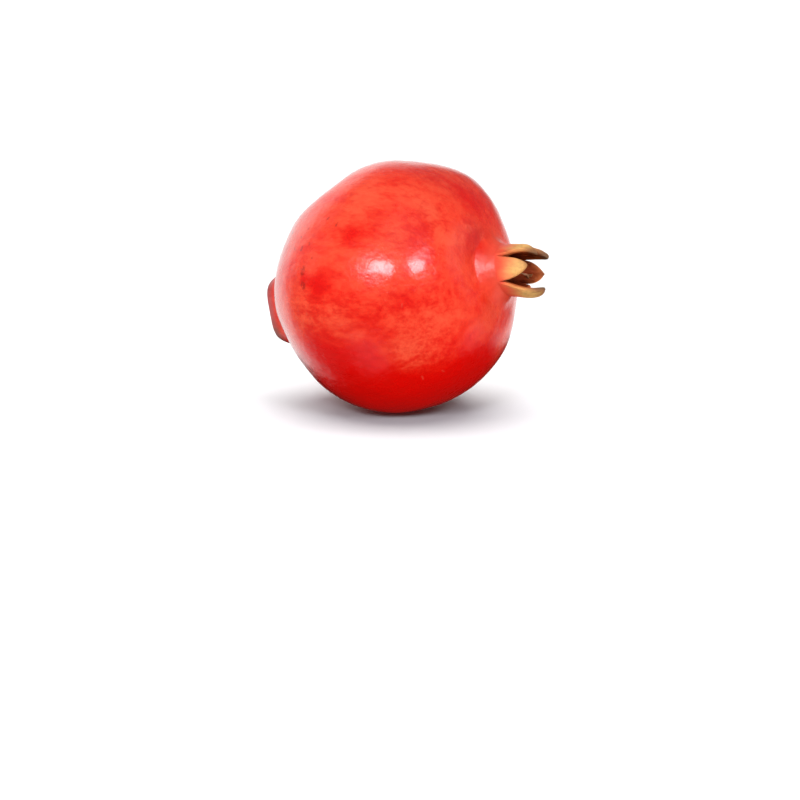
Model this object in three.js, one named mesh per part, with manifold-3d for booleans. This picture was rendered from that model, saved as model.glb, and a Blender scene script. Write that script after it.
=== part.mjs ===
// A pomegranate, as picked, lying on its side with its crown turned a little upwards.
// Millimetres, +Z up. The origin is the middle of the small flat spot that the fruit lies on.
//
// The fruit is worked out in a frame of its own: x runs from the stalk to the crown, z is up across
// that axis, and the body's centre is the zero. `tilt` is the angle away from the crown and `turn` the
// angle round the axis, from +y towards +z.

import * as THREE from 'three';
import { mergeVertices } from 'three/addons/utils/BufferGeometryUtils.js';
import Module from 'manifold-3d';

const wasm = await Module();
wasm.setup();

const DEG = Math.PI / 180;

// Place of the fruit
const CROWN_LIFT = 13 * DEG;          // the crown points this far above level
const BODY_CENTRE = new THREE.Vector3(-0.1, -0.8, 43.3);
const REST_CUT = 20;                  // height of the block that trims the resting spot

// Body
const BODY_RADIUS = 43.9;
const RIB_HEIGHT = 0.45;
const LOBE_COUNT = 6;
const FIRST_RIB = 49 * DEG;           // ribs run from the stalk to the middle of each lobe
const CROWN_END_SINK = 5.0;           // the crown end is blunter than a ball
const CROWN_END_SPREAD = 18 * DEG;

// Broad swellings and pressed flats: where, how high (mm) and how wide
const SWELLINGS = [
  { tilt: 53 * DEG, turn: 63 * DEG, height: 3.6, spread: 20 * DEG },
  { tilt: 84 * DEG, turn: 83 * DEG, height: 2.0, spread: 24 * DEG },
  { tilt: 111 * DEG, turn: 99 * DEG, height: -2.9, spread: 13 * DEG },
  { tilt: 134 * DEG, turn: 118 * DEG, height: -0.7, spread: 22 * DEG },
  { tilt: 143 * DEG, turn: -139 * DEG, height: -1.2, spread: 22 * DEG },
  { tilt: 100 * DEG, turn: -108 * DEG, height: 0.7, spread: 22 * DEG },
  { tilt: 33 * DEG, turn: -38 * DEG, height: -0.6, spread: 18 * DEG },
  { tilt: 78 * DEG, turn: -12 * DEG, height: -1.2, spread: 20 * DEG },
  { tilt: 21 * DEG, turn: 177 * DEG, height: -1.8, spread: 12 * DEG },
];

// Neck, crown and cup
const RING_RADIUS = 9.3;
const SLIT_LEVEL = 43.4;              // along the axis, where the slits between the lobes begin
const NECK_FLARE = 2.2;
const NECK_FLARE_SWING = 0.6;         // the flare is wider on one side
const NECK_WIDE_SIDE = 177 * DEG;
const LOBE_FLATNESS = 0.09;           // the ring is part of the way from round to six-sided
const FLAT_FADE = 4;
const CROWN_NOD = 0.2;                // the crown droops by this share of its height
const WALL = 2.4;
const LOBE_EDGE = 1.1;                // the wall is this thin at the tips
const CUP_DEPTH = 10;
const SLIT_FLOOR = 0.6;               // the slits stop short of cutting the ring
const TIP_ROUNDING = 0.05;
const TIP_DROP = 0.15;                // a tip that curls inwards comes down by this share of the curl

// Lobes: length, how far the tip curls in and how late, the bow half way and the lean round the axis
const LOBES = [
  { length: 15.4, inward: 2.9, hook: 3, bow: 0.3, lean: 0.0 },
  { length: 14.6, inward: 2.2, hook: 3, bow: 0.7, lean: 0.2 },
  { length: 11.8, inward: 1.6, hook: 2, bow: 0.4, lean: -1.9 },
  { length: 15.4, inward: 0.9, hook: 3, bow: 0.7, lean: 0.4 },
  { length: 12.4, inward: 3.4, hook: 3, bow: 0.8, lean: -0.5 },
  { length: 11.6, inward: 2.6, hook: 2, bow: 0.1, lean: -0.4 },
];

// Stalk end
const KNOB_LEVEL = 47.9;              // flat top of the raised stalk end, along the axis
const KNOB_RADIUS = 11.6;
const KNOB_SQUARENESS = 0.7;
const KNOB_SKIRT = 5.5;
const KNOB_DIMPLE = 1.8;
const KNOB_DIMPLE_RADIUS = 6;
const STALK_RADIUS = 2.8;
const STALK_LEVEL = 48.9;
const STALK_CHAMFER = 0.5;
const KNOB_BRINK = 0.6;               // the flat end starts to fall this far inside its edge

// Stamens
const STAMEN_COUNT = 36;
const STAMEN_MAT_RADIUS = 4.9;
const STAMEN_MAT_SIDES = 16;
const STAMEN_MAT_TAPER = 0.55;        // the mat's foot is this share of its top's radius
const STAMEN_MAT_LEVELS = [34.5, 36.3];
const STAMEN_ROOT = 0.7;              // threads start this far above the mat's foot
const STAMEN_SPREAD = [1.7, 4.4];
const STAMEN_TOPS = [40.2, 43.6];
const STAMEN_BENDS = [-0.2, 0.7];
const STAMEN_RADIUS = 0.37;
const ANTHER_LENGTH = 1.5;
const ANTHER_RADIUS = 0.6;
const STYLE_RADIUS = 0.75;
const STYLE_TOP = 45.4;
const STYLE_LEAN = 1.1;
const GOLDEN_ANGLE = Math.PI * (3 - Math.sqrt(5));
const RANDOM_SEED = 7;

// Fineness of the facets
const HALF_LOBE_COLUMNS = 5;
const COLUMNS = LOBE_COUNT * HALF_LOBE_COLUMNS * 2;
const BODY_ROWS = 20;
const BODY_ROW_TILTS = [150 * DEG, 20 * DEG];
const NECK_ROW_GAPS = [2.9, 1.9, 1.1, 0.55, 0.2];    // outside the ring
const NECK_LOOSENESS = 0.35;          // how far the first of these rows is from drawn to the slits
const KNOB_ROW_RADII = [5.5, 8.5, 10.8, 11.8, 13, 14.6, 16.6, 19.2];
const GATHER_TILTS = [24 * DEG, 14 * DEG];    // here the columns move over towards the slits
const LOBE_ROWS = 5;
const CUP_ROWS = 5;

function smoothStep(from, to, value) {
  const t = THREE.MathUtils.clamp((value - from) / (to - from), 0, 1);
  return t * t * (3 - 2 * t);
}

function direction(tilt, turn) {
  return new THREE.Vector3(
    Math.cos(tilt),
    Math.sin(tilt) * Math.cos(turn),
    Math.sin(tilt) * Math.sin(turn),
  );
}

// ---- body ----

function bodyRadius(tilt, turn) {
  const towards = direction(tilt, turn);
  let radius = BODY_RADIUS;
  radius += RIB_HEIGHT * Math.sin(tilt) ** 2 * Math.cos(LOBE_COUNT * (turn - FIRST_RIB));
  radius -= CROWN_END_SINK * Math.exp(-((tilt / CROWN_END_SPREAD) ** 2));
  for (const swelling of SWELLINGS) {
    const away = towards.angleTo(direction(swelling.tilt, swelling.turn));
    radius += swelling.height * Math.exp(-((away / swelling.spread) ** 2));
  }
  return radius;
}

function bodyPoint(tilt, turn) {
  return direction(tilt, turn).multiplyScalar(bodyRadius(tilt, turn));
}

// The tilt at which the body is this far from the axis, settled in a few steps
function tiltAt(across, turn) {
  let tilt = Math.asin(across / BODY_RADIUS);
  for (let step = 0; step < 8; step += 1) {
    tilt = Math.asin(across / bodyRadius(tilt, turn));
  }
  return tilt;
}

// The neck: the skin sweeps up to the slits' level as exp(-gap / flare)
function neckRise(ringGap, turn) {
  const flare = NECK_FLARE + NECK_FLARE_SWING * Math.cos(turn - NECK_WIDE_SIDE);
  const ringLevel = bodyPoint(tiltAt(RING_RADIUS, turn), turn).x;
  return (SLIT_LEVEL - ringLevel) * Math.exp(-Math.max(ringGap, 0) / flare);
}

// Each lobe's outer face is flatter than the ring: 1 - flatness (1 - side^2)
function faceting(side, ringGap) {
  return 1 - LOBE_FLATNESS * (1 - side ** 2) * Math.exp(-Math.max(ringGap, 0) / FLAT_FADE);
}

// The stalk end: a flat-topped knob with rounded corners and a dimple round the stalk
function knobLevel(across) {
  return KNOB_LEVEL - KNOB_DIMPLE * Math.exp(-((across / KNOB_DIMPLE_RADIUS) ** 2));
}

function knobShare(across, turn) {
  const edge = KNOB_RADIUS - KNOB_SQUARENESS * Math.cos(4 * (turn - NECK_WIDE_SIDE));
  return 1 - smoothStep(edge - KNOB_BRINK, edge + KNOB_SKIRT, across);
}

function skinPoint(tilt, turn, side) {
  const point = bodyPoint(tilt, turn);
  const across = Math.hypot(point.y, point.z);
  if (tilt < 90 * DEG) {
    const narrowing = faceting(side, across - RING_RADIUS);
    point.x += neckRise(across - RING_RADIUS, turn);
    point.y *= narrowing;
    point.z *= narrowing;
    return point;
  }
  point.x = THREE.MathUtils.lerp(point.x, -knobLevel(across), knobShare(across, turn));
  return point;
}

// ---- crown ----

// A column is one line from the stalk up to a lobe's edge. `side` runs from -1 at one slit over 0 at
// the lobe's middle to 1 at the next slit.
function columnAt(index) {
  const lobeIndex = Math.floor(index / (2 * HALF_LOBE_COLUMNS));
  const side = (index % (2 * HALF_LOBE_COLUMNS)) / HALF_LOBE_COLUMNS - 1;
  return {
    lobe: LOBES[lobeIndex],
    turn: FIRST_RIB + (lobeIndex * 2 * Math.PI) / LOBE_COUNT,
    side,
    rise: 1 - Math.abs(side),
  };
}

// Lobes are 1 - (height / length)^2 wide, so columns gather towards the slits there
function sideAt(column, gather) {
  const gathered = Math.sign(column.side) * (1 - column.rise ** 2);
  return THREE.MathUtils.lerp(column.side, gathered, gather);
}

function sideAngle(column, gather) {
  return (sideAt(column, gather) * Math.PI) / LOBE_COUNT;
}

function lobePoint(column, share, depth) {
  const { lobe, turn } = column;
  const fullHeight = lobe.length * (column.rise - TIP_ROUNDING * column.rise ** 10);
  const height = Math.max(fullHeight, SLIT_FLOOR) * share;
  const reach = height / lobe.length;
  const angle = sideAngle(column, 1);
  const radius = (RING_RADIUS - depth) * faceting(sideAt(column, 1), 0);
  const inward = lobe.inward * reach ** lobe.hook - lobe.bow * Math.sin(Math.PI * reach);
  const radial = radius * Math.cos(angle) - inward;
  const along = radius * Math.sin(angle) + lobe.lean * reach ** 2;
  return new THREE.Vector3(
    SLIT_LEVEL + height - TIP_DROP * inward,
    radial * Math.cos(turn) - along * Math.sin(turn),
    radial * Math.sin(turn) + along * Math.cos(turn) - CROWN_NOD * height,
  );
}

function ringPoint(column, level, radius, gather) {
  const turn = column.turn + sideAngle(column, gather);
  return new THREE.Vector3(level, radius * Math.cos(turn), radius * Math.sin(turn));
}

function wallThickness(share) {
  return THREE.MathUtils.lerp(WALL, LOBE_EDGE, share ** 3);
}

// ---- rows of the whole fruit, from the stalk over the body and the lobes down into the cup ----

function stalkRows() {
  return [
    (column) => ringPoint(column, -STALK_LEVEL, STALK_RADIUS - STALK_CHAMFER, 0),
    (column) => ringPoint(column, -STALK_LEVEL + STALK_CHAMFER, STALK_RADIUS, 0),
    (column) => ringPoint(column, -knobLevel(STALK_RADIUS), STALK_RADIUS, 0),
  ];
}

function skinRows() {
  const [firstTilt, lastTilt] = BODY_ROW_TILTS;
  const tilts = KNOB_ROW_RADII.map((across) => Math.PI - Math.asin(across / BODY_RADIUS));
  for (let row = 0; row <= BODY_ROWS; row += 1) {
    tilts.push(THREE.MathUtils.lerp(firstTilt, lastTilt, row / BODY_ROWS));
  }
  const bodyRows = tilts.map((tilt) => (column) => {
    const gather = smoothStep(...GATHER_TILTS, tilt);
    return skinPoint(tilt, column.turn + sideAngle(column, gather), sideAt(column, gather));
  });
  const neckRows = NECK_ROW_GAPS.map((gap) => (column) => {
    const gather = 1 - NECK_LOOSENESS * (gap / NECK_ROW_GAPS[0]) ** 2;
    const turn = column.turn + sideAngle(column, gather);
    return skinPoint(tiltAt(RING_RADIUS + gap, turn), turn, sideAt(column, gather));
  });
  return [...bodyRows, ...neckRows];
}

function crownRows() {
  const rows = [];
  for (let row = 0; row <= LOBE_ROWS; row += 1) {
    rows.push((column) => lobePoint(column, row / LOBE_ROWS, 0));
  }
  rows.push((column) => {
    const middle = lobePoint(column, 1, LOBE_EDGE / 2);
    middle.x += LOBE_EDGE / 4;
    return middle;
  });
  for (let row = LOBE_ROWS; row >= 0; row -= 1) {
    rows.push((column) => lobePoint(column, row / LOBE_ROWS, wallThickness(row / LOBE_ROWS)));
  }
  return rows;
}

// The cup: (depth / full depth)^4 + (radius / full radius)^2 = 1
function cupRows() {
  const rows = [];
  for (let row = 1; row < CUP_ROWS; row += 1) {
    const angle = (row / CUP_ROWS) * 90 * DEG;
    const level = SLIT_LEVEL - CUP_DEPTH * Math.sqrt(Math.sin(angle));
    const radius = (RING_RADIUS - WALL) * Math.cos(angle);
    rows.push((column) => ringPoint(column, level, radius, 1 - row / CUP_ROWS));
  }
  return rows;
}

// A closed skin through rows of points, with a single point at each end
function shellGeometry(startPole, rows, endPole) {
  const points = [startPole];
  for (const rowPoint of rows) {
    for (let index = 0; index < COLUMNS; index += 1) {
      points.push(rowPoint(columnAt(index)));
    }
  }
  points.push(endPole);
  const indices = [];
  for (let index = 0; index < COLUMNS; index += 1) {
    const next = (index + 1) % COLUMNS;
    indices.push(0, 1 + next, 1 + index);
    for (let row = 0; row + 1 < rows.length; row += 1) {
      const a = 1 + row * COLUMNS + index;
      const b = 1 + row * COLUMNS + next;
      indices.push(a, b, b + COLUMNS, a, b + COLUMNS, a + COLUMNS);
    }
    const lastRow = 1 + (rows.length - 1) * COLUMNS;
    indices.push(lastRow + index, lastRow + next, points.length - 1);
  }
  const geometry = new THREE.BufferGeometry().setFromPoints(points);
  geometry.setIndex(indices);
  return geometry;
}

// ---- solids ----

function toManifold(geometry) {
  const bare = geometry.clone();
  bare.deleteAttribute('normal');
  bare.deleteAttribute('uv');
  const merged = mergeVertices(bare, 1e-4);
  return new wasm.Manifold(new wasm.Mesh({
    numProp: 3,
    vertProperties: Float32Array.from(merged.attributes.position.array),
    triVerts: Uint32Array.from(merged.index.array),
  }));
}

function toGeometry(manifold) {
  const { vertProperties, triVerts } = manifold.getMesh();
  const geometry = new THREE.BufferGeometry();
  geometry.setAttribute('position', new THREE.BufferAttribute(Float32Array.from(vertProperties), 3));
  geometry.setIndex(new THREE.BufferAttribute(Uint32Array.from(triVerts), 1));
  geometry.computeVertexNormals();
  return geometry;
}

const fruitPlace = new THREE.Matrix4()
  .makeRotationY(-CROWN_LIFT)
  .setPosition(BODY_CENTRE);

function fruitSolid() {
  const rows = [...stalkRows(), ...skinRows(), ...crownRows(), ...cupRows()];
  const startPole = new THREE.Vector3(-STALK_LEVEL, 0, 0);
  const endPole = new THREE.Vector3(SLIT_LEVEL - CUP_DEPTH, 0, 0);
  const whole = toManifold(shellGeometry(startPole, rows, endPole).applyMatrix4(fruitPlace));
  const ground = new THREE.BoxGeometry(80, 80, REST_CUT).translate(0, 0, -REST_CUT / 2);
  return whole.subtract(toManifold(ground));
}

// A small repeatable stream of random numbers between 0 and 1
function randomStream(seed) {
  let state = seed;
  return () => {
    state = (state * 48271) % 2147483647;
    return state / 2147483647;
  };
}

// A square-sectioned thread through points, as thick at each as `radii` says, closed at both ends
function threadGeometry(points, radii) {
  const vertices = [];
  const indices = [];
  points.forEach((point, row) => {
    for (let corner = 0; corner < 4; corner += 1) {
      const angle = (corner * Math.PI) / 2 + 0.4;
      vertices.push(point.clone().add(
        new THREE.Vector3(0, radii[row] * Math.cos(angle), radii[row] * Math.sin(angle)),
      ));
      if (row > 0) {
        const a = (row - 1) * 4 + corner;
        const b = (row - 1) * 4 + ((corner + 1) % 4);
        indices.push(a, b, b + 4, a, b + 4, a + 4);
      }
    }
  });
  const top = (points.length - 1) * 4;
  indices.push(0, 2, 1, 0, 3, 2, top, top + 1, top + 2, top, top + 2, top + 3);
  const geometry = new THREE.BufferGeometry().setFromPoints(vertices);
  geometry.setIndex(indices);
  return geometry;
}

function crownPoint(level, across, turn) {
  return new THREE.Vector3(level, across * Math.cos(turn), across * Math.sin(turn));
}

// One dry stamen: a thread that bows outwards, nods back over the cup and ends in a thicker anther
function stamenGeometry(turn, across, top, bend) {
  const foot = STAMEN_MAT_LEVELS[0] + STAMEN_ROOT;
  const headTurn = turn + bend / 3;
  const headAcross = across - bend / 2;
  const points = [
    crownPoint(foot, across, turn),
    crownPoint((foot + top) / 2, across + bend, turn),
    crownPoint(top, headAcross, headTurn),
    crownPoint(top + ANTHER_LENGTH / 3, headAcross - ANTHER_RADIUS / 3, headTurn),
    crownPoint(top + ANTHER_LENGTH, headAcross - ANTHER_RADIUS, headTurn),
  ];
  return threadGeometry(
    points,
    [STAMEN_RADIUS * 1.2, STAMEN_RADIUS, STAMEN_RADIUS, ANTHER_RADIUS, ANTHER_RADIUS * 0.7],
  );
}

// The old style in the middle of the cup, a little thicker than the stamens and leaning
function styleGeometry() {
  const foot = STAMEN_MAT_LEVELS[0] + STAMEN_ROOT;
  const points = [
    crownPoint(foot, 0, 0),
    crownPoint((foot + STYLE_TOP) / 2, STYLE_LEAN / 3, 30 * DEG),
    crownPoint(STYLE_TOP, STYLE_LEAN, -70 * DEG),
  ];
  return threadGeometry(points, [STYLE_RADIUS, STYLE_RADIUS * 0.8, STYLE_RADIUS]);
}

function matGeometry() {
  const [low, high] = STAMEN_MAT_LEVELS;
  const footRadius = STAMEN_MAT_RADIUS * STAMEN_MAT_TAPER;
  return new THREE.CylinderGeometry(footRadius, STAMEN_MAT_RADIUS, high - low, STAMEN_MAT_SIDES)
    .rotateZ(90 * DEG)
    .translate((low + high) / 2, 0, 0);
}

// The dry tuft in the cup: a felted mat that holds the stamens, spread evenly by the golden angle
function stamenSolid() {
  const random = randomStream(RANDOM_SEED);
  let tuft = toManifold(matGeometry()).add(toManifold(styleGeometry()));
  for (let index = 0; index < STAMEN_COUNT; index += 1) {
    const across = THREE.MathUtils.lerp(...STAMEN_SPREAD, Math.sqrt((index + 0.5) / STAMEN_COUNT));
    const top = THREE.MathUtils.lerp(...STAMEN_TOPS, random());
    const bend = THREE.MathUtils.lerp(...STAMEN_BENDS, random());
    tuft = tuft.add(toManifold(stamenGeometry(index * GOLDEN_ANGLE, across, top, bend)));
  }
  return tuft;
}

// ---- the part ----

function namedMesh(name, geometry, material) {
  const mesh = new THREE.Mesh(geometry, material);
  mesh.name = name;
  return mesh;
}

const rind = new THREE.MeshStandardMaterial({ color: 0xd93a26, roughness: 0.38, metalness: 0 });
const driedStamen = new THREE.MeshStandardMaterial({ color: 0x7a4a28, roughness: 0.9, metalness: 0 });

const pomegranate = new THREE.Group();
pomegranate.add(namedMesh('fruit', toGeometry(fruitSolid()), rind));

const crownFilling = namedMesh('stamens', toGeometry(stamenSolid()), driedStamen);
crownFilling.applyMatrix4(fruitPlace);
pomegranate.add(crownFilling);

export default pomegranate;
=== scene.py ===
import math

import bpy
import numpy as np
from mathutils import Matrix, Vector


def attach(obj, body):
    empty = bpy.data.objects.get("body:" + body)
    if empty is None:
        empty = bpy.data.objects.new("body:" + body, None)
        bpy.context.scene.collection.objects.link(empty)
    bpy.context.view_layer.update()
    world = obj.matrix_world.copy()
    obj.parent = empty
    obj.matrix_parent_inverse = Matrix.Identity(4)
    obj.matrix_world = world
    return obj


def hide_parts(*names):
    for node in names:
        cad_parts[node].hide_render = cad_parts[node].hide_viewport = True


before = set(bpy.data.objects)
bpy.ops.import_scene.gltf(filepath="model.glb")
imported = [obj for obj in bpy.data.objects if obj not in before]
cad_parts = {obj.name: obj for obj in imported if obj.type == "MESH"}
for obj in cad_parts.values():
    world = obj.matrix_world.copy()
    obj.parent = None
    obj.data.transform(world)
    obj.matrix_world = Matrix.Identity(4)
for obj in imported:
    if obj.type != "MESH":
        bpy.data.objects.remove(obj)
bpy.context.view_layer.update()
scene = bpy.context.scene
print("frame loaded:", ", ".join(sorted(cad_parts)))

deg = math.pi / 180
mm = 0.001

# The shapes are worked out in millimetres and degrees in a frame of their own: x from the stalk
# to the crown, z up across that axis, zero at the body's centre. tilt is the angle away from the
# crown and turn the angle round the axis, from +y towards +z.
lie = {"bodyCentre": (-0.1, -0.8, 43.3), "crownLift": 13, "flatSoftness": 0.12}


def placed(points):
    # into the shared frame in metres: turned up by the crown's lift, moved, and pressed flat where
    # it meets the surface: z becomes (z + sqrt(z^2 + softness^2)) / 2
    lift = lie["crownLift"] * deg
    x, y, z = points[..., 0], points[..., 1], points[..., 2]
    turned = np.stack([
        x * math.cos(lift) - z * math.sin(lift),
        y,
        x * math.sin(lift) + z * math.cos(lift),
    ], axis=-1) + np.array(lie["bodyCentre"])
    height = turned[..., 2]
    turned[..., 2] = (height + np.sqrt(height ** 2 + lie["flatSoftness"] ** 2)) / 2
    return turned * mm


def smooth(low, high, value):
    # a step from 0 at low to 1 at high: 3 t^2 - 2 t^3
    t = np.clip((value - low) / (high - low), 0, 1)
    return t * t * (3 - 2 * t)


def roundAxis(level, across, turn):
    # (level, across * cos(turn), across * sin(turn))
    level, across, turn = np.broadcast_arrays(level, across, turn)
    return np.stack([level, across * np.cos(turn), across * np.sin(turn)], axis=-1)


def towards(tilt, turn):
    return roundAxis(np.cos(tilt), np.sin(tilt), turn)


def bells(tilt, turn, places):
    # the sum over the places of height * exp(-(angle from the place / spread)^2)
    here = towards(tilt, turn)
    total = np.zeros(here.shape[:-1])
    for placeTilt, placeTurn, height, spread in places:
        angle = np.arccos(np.clip(here @ towards(placeTilt * deg, placeTurn * deg), -1, 1))
        total += height * np.exp(-(angle / (spread * deg)) ** 2)
    return total


rippleShape = {"waves": 12, "stretch": (0.7, 1.4), "sharpness": 2.4}


def ripples(points, height, wavelength, seed):
    # smooth unevenness: height times the mean of plane waves in seeded directions, sharpened
    shape = rippleShape
    rng = np.random.default_rng(seed)
    directions = rng.normal(size=(shape["waves"], 3))
    directions /= np.linalg.norm(directions, axis=1)[:, None]
    stretch = rng.uniform(*shape["stretch"], shape["waves"])
    phases = rng.uniform(0, 2 * math.pi, shape["waves"])
    waves = np.sin((points @ directions.T) * (2 * math.pi / wavelength) * stretch + phases)
    return height * np.clip(waves.mean(axis=-1) * shape["sharpness"], -1, 1)


bodyShape = {
    "radius": 43.76,
    "lobes": 6,
    "firstRib": 49,
    "ribHeight": 0.45,
    "crownSink": 5.0,
    "crownSinkSpread": 18,
    "swellings": [  # tilt, turn, height, spread
        (53, 63, 3.6, 20),
        (84, 83, 2.0, 24),
        (111, 99, -2.9, 13),
        (134, 118, -0.7, 22),
        (143, -139, -1.2, 22),
        (100, -108, 0.7, 22),
        (33, -38, -0.6, 18),
        (78, -12, -1.2, 20),
        (21.3, 157.5, -2.55, 15),
    ],
    "unevenness": [(0.10, 16, 5), (0.035, 7, 6)],  # height, wavelength, seed
    "unevenFrom": (14, 26),  # tilts where it starts and is full at the crown
    "evenFrom": (170, 155),  # and at the stalk
    "settlingSteps": 8,
}


def bodyRadius(tilt, turn):
    # a ball with swellings, plus ribHeight * sin(tilt)^2 * cos(lobes * turn), less
    # crownSink * exp(-(tilt / spread)^2)
    shape = bodyShape
    radius = shape["radius"] + bells(tilt, turn, shape["swellings"])
    ribs = np.cos(shape["lobes"] * (turn - shape["firstRib"] * deg))
    radius = radius + shape["ribHeight"] * np.sin(tilt) ** 2 * ribs
    return radius - shape["crownSink"] * np.exp(-(tilt / (shape["crownSinkSpread"] * deg)) ** 2)


neckShape = {
    "ringRadius": 9.3,
    "slitLevel": 43.4,
    "flare": 2.2,
    "flareSwing": 0.6,
    "wideSide": 177,
    "flatness": 0.045,
    "flatFade": 4,
    "coneSide": 179,  # here the neck is a straight cone, not a flare
    "coneSpread": 60,
    "coneLength": 4.35,
    "conePower": 0.95,
    "coneSoftness": 0.04,
    "coneFlatFade": 6.6,
    "lip": 0.05,  # the last, upright part of the rise
    "lipGap": 0.15,
    "pleatDepth": 0.22,
    "pleatFade": 3,
    "pleatSharpness": 12,
    "colourFade": 5,
}

knobShape = {
    "level": 47.7,
    "radius": 11.1,
    "squareness": 3.5,
    "squareTurn": 177,
    "brink": 0.8,
    "skirt": 4.6,
    "dimple": 1.8,
    "dimpleRadius": 6,
    "stalkRadius": 2.8,
    "stalkLevel": 48.9,
    "stalkWidths": (0.3, 0.6, 0.85, 0.97, 1.0, 1.0, 1.02, 1.06),  # shares, from the middle down
    "stalkDrops": (0.25, 0.05, 0, 0.12, 0.5),  # first rows below the top
    "stalkFoot": 0.2,  # last row but one above the knob
    "stalkCut": (1, 1, 1, 0.9, 0.6, 0.4, 0.2, 0),  # bare wood
    "stalkHollow": 0.35,
    "stalkUneven": (0.14, 1.6, 21),
}


def tiltAt(across, turn):
    # arcsin(across / radius), settled in steps
    tilt = np.arcsin(across / bodyShape["radius"])
    for step in range(bodyShape["settlingSteps"]):
        tilt = np.arcsin(across / bodyRadius(tilt, turn))
    return tilt


def coneShare(turn):
    # exp(-(angle from the cone's side / spread)^2)
    off = np.angle(np.exp(1j * (turn - neckShape["coneSide"] * deg)))
    return np.exp(-(off / (neckShape["coneSpread"] * deg)) ** 2)


def neckRise(gap, turn):
    # up to the slits' level as exp(-gap / flare), and as (1 - gap / length)^power on the cone's
    # side, with lip * exp(-sqrt(gap / lipGap)) upright at the very ring
    shape = neckShape
    ringTilt = tiltAt(shape["ringRadius"], turn)
    full = shape["slitLevel"] - bodyRadius(ringTilt, turn) * np.cos(ringTilt)
    flare = shape["flare"] + shape["flareSwing"] * np.cos(turn - shape["wideSide"] * deg)
    curved = np.exp(-gap / flare)
    left = 1 - gap / shape["coneLength"]
    cone = ((left + np.sqrt(left ** 2 + shape["coneSoftness"] ** 2)) / 2) ** shape["conePower"]
    lip = shape["lip"] * np.exp(-np.sqrt(gap / shape["lipGap"]))
    return (full - shape["lip"]) * (curved + (cone - curved) * coneShare(turn)) + lip


def faceting(side, gap, turn):
    # a lobe's face is flatter than the ring: 1 - flatness * (1 - side^2), fading down the neck
    shape = neckShape
    fade = shape["flatFade"] + (shape["coneFlatFade"] - shape["flatFade"]) * coneShare(turn)
    return 1 - shape["flatness"] * (1 - side ** 2) * np.exp(-gap / fade)


def knobLevel(across):
    # level - dimple * exp(-(across / dimple radius)^2)
    shape = knobShape
    return shape["level"] - shape["dimple"] * np.exp(-(across / shape["dimpleRadius"]) ** 2)


def knobEdge(turn):
    # a rounded square: radius / (|cos|^squareness + |sin|^squareness)^(1 / squareness)
    turned, power = turn - knobShape["squareTurn"] * deg, knobShape["squareness"]
    corners = np.abs(np.cos(turned)) ** power + np.abs(np.sin(turned)) ** power
    return knobShape["radius"] / corners ** (1 / power)


def skin(tilt, turn, side):
    # the body's point, swept up to the neck and out to the knob's flat end, with pleats below the
    # slits: depth * exp(-gap / fade) * |side|^sharpness
    radius = bodyRadius(tilt, turn)
    points = towards(tilt, turn) * radius[..., None]
    fade = smooth(*np.array(bodyShape["unevenFrom"]) * deg, tilt)
    fade = fade * smooth(*np.array(bodyShape["evenFrom"]) * deg, tilt)
    for values in bodyShape["unevenness"]:
        points = points * (1 + ripples(points, *values) * fade / radius)[..., None]
    across = np.hypot(points[..., 1], points[..., 2])
    gap = np.maximum(across - neckShape["ringRadius"], 0)
    crownHalf = tilt < 90 * deg
    pleat = neckShape["pleatDepth"] * np.exp(-gap / neckShape["pleatFade"]) * smooth(0, 1, gap)
    pleat = pleat * np.abs(side) ** neckShape["pleatSharpness"]
    rise = np.where(crownHalf, neckRise(gap, turn) - pleat, 0.0)
    edge = knobEdge(turn)
    knob = 1 - smooth(edge - knobShape["brink"], edge + knobShape["skirt"], across)
    knob = np.where(crownHalf, 0.0, knob)
    points[..., 0] += rise
    points[..., 0] += knob * (-knobLevel(across) - points[..., 0])
    points[..., 1:] *= np.where(crownHalf, faceting(side, gap, turn), 1.0)[..., None]
    return points, gap, knob


crownShape = {
    # length, curl inwards, how late it curls, bow, lean round the axis, shoulders, point (1) or
    # round (0.5), thickness of the tip, flattening, twist
    "lobes": [
        (15.0, 1.1, 3, 0.2, -1.3, 2.0, 0.62, 2.1, 0.3, 0.0),
        (14.6, 1.7, 6, 1.0, 0.2, 2.0, 0.80, 1.8, 0.5, 0.7),
        (11.8, 1.6, 2, 0.4, -1.9, 2.0, 0.72, 1.3, 0.0, 0.0),
        (15.4, 2.2, 3, 1.1, 1.1, 2.0, 0.60, 1.9, 0.5, -0.6),
        (7.2, 1.6, 2, 0.1, 0.5, 2.2, 0.80, 1.8, 0.4, 0.0),
        (12.2, 2.4, 2, 0.1, -0.6, 3.6, 1.40, 1.3, 0.0, 0.0),
    ],
    "leanCurve": 1.5,
    "nod": 0.2,
    "tipDrop": 0.15,
    "tipRounding": 0.04,
    "tipSharpness": 10,
    "slitFloor": 0.6,
    "wall": 2.4,
    "thinning": 1.5,
    "edgeRound": 0.8,
    "roundFrom": 2.5,  # edges are fully rounded this far above the slits
    "grownAt": 0.5,  # flattening and twist are full at this share
    "dryFrom": (0.1, 0.6),
    "dryInset": 1.5,
    "ridges": 5,
    "ridgeHeight": 0.10,
    "shrivel": ((0.16, 3.2, 11), (0.16, 3.2, 12)),  # outside and inside
    "innerShrivel": 0.9,
    "rimFade": (0.8, 1.2),  # outside and inside
    "cupDepth": 10,
    "cupUneven": (0.2, 3.0, 31),
    "colourLength": 14,  # colours go by height over this length
    "halfColumns": 30,
    "columnCurve": 1.5,  # columns end at 1 - |side|^curve
}

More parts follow.
